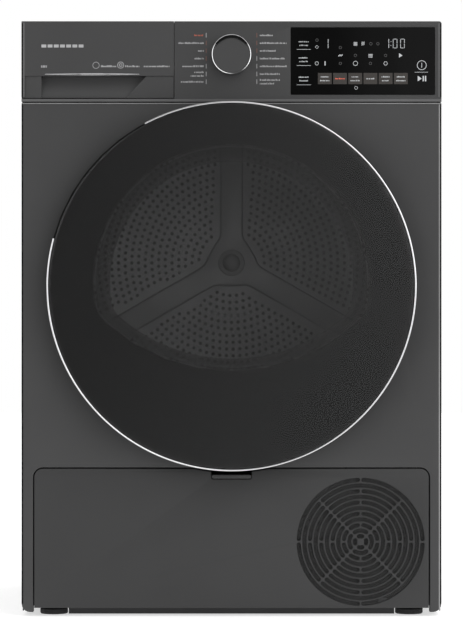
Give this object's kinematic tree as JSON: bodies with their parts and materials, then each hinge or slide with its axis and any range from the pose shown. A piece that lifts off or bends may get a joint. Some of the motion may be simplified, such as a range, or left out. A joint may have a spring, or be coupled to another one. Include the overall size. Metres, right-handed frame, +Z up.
{
  "type": "clothes dryer",
  "caption": "Front-loading heat-pump clothes dryer with a round glass door, a water-tank drawer, a programme knob and a service flap.",
  "frame": {"origin": "on the floor, under the middle of the machine's box", "axes": "+Z up, the front with the door faces -Y, +X is the viewer's right"},
  "size_m": [0.597, 0.609, 0.846],
  "materials": {
    "cabinet_paint": "satin metallic anthracite",
    "dark_plastic": "fine moulded grain",
    "grey_plastic": "moulded grain",
    "door_glass": "tinted, polished",
    "clear_bowl": "clear moulded",
    "display_gloss": "gloss black",
    "chrome_trim": "bright",
    "steel": "brushed",
    "galvanised": "zinc coated sheet",
    "rubber": "matte",
    "aluminium": "mill finish",
    "copper": "drawn tube",
    "tank_plastic": "translucent moulded",
    "lever_plastic": "moulded"
  },
  "bodies": {
    "root": {"base_module": "dark_plastic", "side_panel_left": "cabinet_paint", "side_panel_right": "cabinet_paint", "front_panel": "cabinet_paint", "top_cover": "cabinet_paint", "rear_panel": "galvanised", "rear_duct_cover": "galvanised", "cord_gland": "dark_plastic", "control_panel": "cabinet_paint", "display_window": "display_gloss", "control_electronics": "dark_plastic", "tank_housing": "grey_plastic", "front_bulkhead": "grey_plastic", "door_seal": "rubber", "lint_filter": "lever_plastic", "rear_bearing": "aluminium", "drum_belt": "rubber", "motor_body": "galvanised", "exchanger_duct": "grey_plastic", "evaporator": "aluminium", "condenser": "aluminium", "exchanger_cover": "grey_plastic", "fan_housing": "grey_plastic", "cooling_fan_frame": "dark_plastic", "compressor": "dark_plastic", "refrigerant_pipe": "copper", "condensate_pump": "dark_plastic", "hinge_bracket": "steel", "door_latch": "dark_plastic"},
    "door": {"door_frame": "dark_plastic", "door_glass": "door_glass", "door_trim": "chrome_trim", "door_bowl": "clear_bowl", "door_hinge_pin": "steel", "door_striker": "steel"},
    "tank_drawer": {"drawer_front": "cabinet_paint", "drawer_strip": "chrome_trim", "water_tank": "tank_plastic", "tank_lid": "tank_plastic"},
    "knob": {"knob_body": "dark_plastic", "knob_ring": "chrome_trim"},
    "drum": {"drum_shell": "steel", "drum_rear_wall": "steel", "drum_lifter_1": "grey_plastic", "drum_lifter_2": "grey_plastic", "drum_lifter_3": "grey_plastic"},
    "roller_left": {"drum_roller_left": "rubber"},
    "roller_right": {"drum_roller_right": "rubber"},
    "motor_rotor": {"motor_shaft": "steel", "process_fan": "grey_plastic"},
    "idler": {"belt_idler": "dark_plastic"},
    "cooling_fan": {"cooling_fan_rotor": "dark_plastic"},
    "flap": {"flap_panel": "cabinet_paint"},
    "flap_button": {"flap_release": "cabinet_paint"},
    "lever_left": {"cover_lever_left": "lever_plastic"},
    "lever_right": {"cover_lever_right": "lever_plastic"},
    "foot_fl": {"foot_front_left": "rubber"},
    "foot_fr": {"foot_front_right": "rubber"},
    "foot_rl": {"foot_rear_left": "rubber"},
    "foot_rr": {"foot_rear_right": "rubber"}
  },
  "joints": [
    {"name": "door_hinge", "type": "hinge", "parent": "root", "child": "door", "pos_m": [0.25, -0.287, 0.469], "axis": [0, 0, 1], "range_deg": [0, 165]},
    {"name": "tank_drawer_slide", "type": "slide", "parent": "root", "child": "tank_drawer", "axis": [0, -1, 0], "range_m": [0, 0.4]},
    {"name": "programme_knob_turn", "type": "hinge", "parent": "root", "child": "knob", "pos_m": [0, -0.27, 0.7974], "axis": [0, 1, 0], "continuous": true},
    {"name": "drum_spin", "type": "hinge", "parent": "root", "child": "drum", "pos_m": [0, 0, 0.512], "axis": [0, 1, 0], "continuous": true},
    {"name": "roller_left_spin", "type": "hinge", "parent": "root", "child": "roller_left", "pos_m": [-0.201, -0.194, 0.2735], "axis": [0, 1, 0], "continuous": true},
    {"name": "roller_right_spin", "type": "hinge", "parent": "root", "child": "roller_right", "pos_m": [0.201, -0.194, 0.2735], "axis": [0, 1, 0], "continuous": true},
    {"name": "motor_spin", "type": "hinge", "parent": "root", "child": "motor_rotor", "pos_m": [0.12, 0.15, 0.106], "axis": [0, 1, 0], "continuous": true},
    {"name": "idler_spin", "type": "hinge", "parent": "root", "child": "idler", "pos_m": [0.18515, 0.07, 0.1758], "axis": [0, 1, 0], "continuous": true},
    {"name": "cooling_fan_spin", "type": "hinge", "parent": "root", "child": "cooling_fan", "pos_m": [0.1833, -0.24, 0.106], "axis": [0, 1, 0], "continuous": true},
    {"name": "flap_hinge", "type": "hinge", "parent": "root", "child": "flap", "pos_m": [0, -0.25, 0.02], "axis": [1, 0, 0], "range_deg": [0, 90]},
    {"name": "flap_release_push", "type": "slide", "parent": "flap", "child": "flap_button", "axis": [0, 1, 0], "range_m": [0, 0.003], "stiffness_N_per_m": 400},
    {"name": "cover_lever_left_turn", "type": "hinge", "parent": "root", "child": "lever_left", "pos_m": [-0.242, -0.24, 0.128], "axis": [0, -1, 0], "range_deg": [0, 90]},
    {"name": "cover_lever_right_turn", "type": "hinge", "parent": "root", "child": "lever_right", "pos_m": [-0.088, -0.24, 0.128], "axis": [0, 1, 0], "range_deg": [0, 90]},
    {"name": "foot_fl_turn", "type": "hinge", "parent": "root", "child": "foot_fl", "pos_m": [-0.255, -0.215, 0.004], "axis": [0, 0, 1], "continuous": true},
    {"name": "foot_fr_turn", "type": "hinge", "parent": "root", "child": "foot_fr", "pos_m": [0.255, -0.215, 0.004], "axis": [0, 0, 1], "continuous": true},
    {"name": "foot_rl_turn", "type": "hinge", "parent": "root", "child": "foot_rl", "pos_m": [-0.255, 0.252, 0.004], "axis": [0, 0, 1], "continuous": true},
    {"name": "foot_rr_turn", "type": "hinge", "parent": "root", "child": "foot_rr", "pos_m": [0.255, 0.252, 0.004], "axis": [0, 0, 1], "continuous": true}
  ],
  "couplings": [
    {"joint": "roller_left_spin", "follows": "drum_spin", "ratio": -11.44},
    {"joint": "roller_right_spin", "follows": "drum_spin", "ratio": -11.44},
    {"joint": "motor_spin", "follows": "drum_spin", "ratio": 20.43},
    {"joint": "idler_spin", "follows": "drum_spin", "ratio": -19.24}
  ]
}
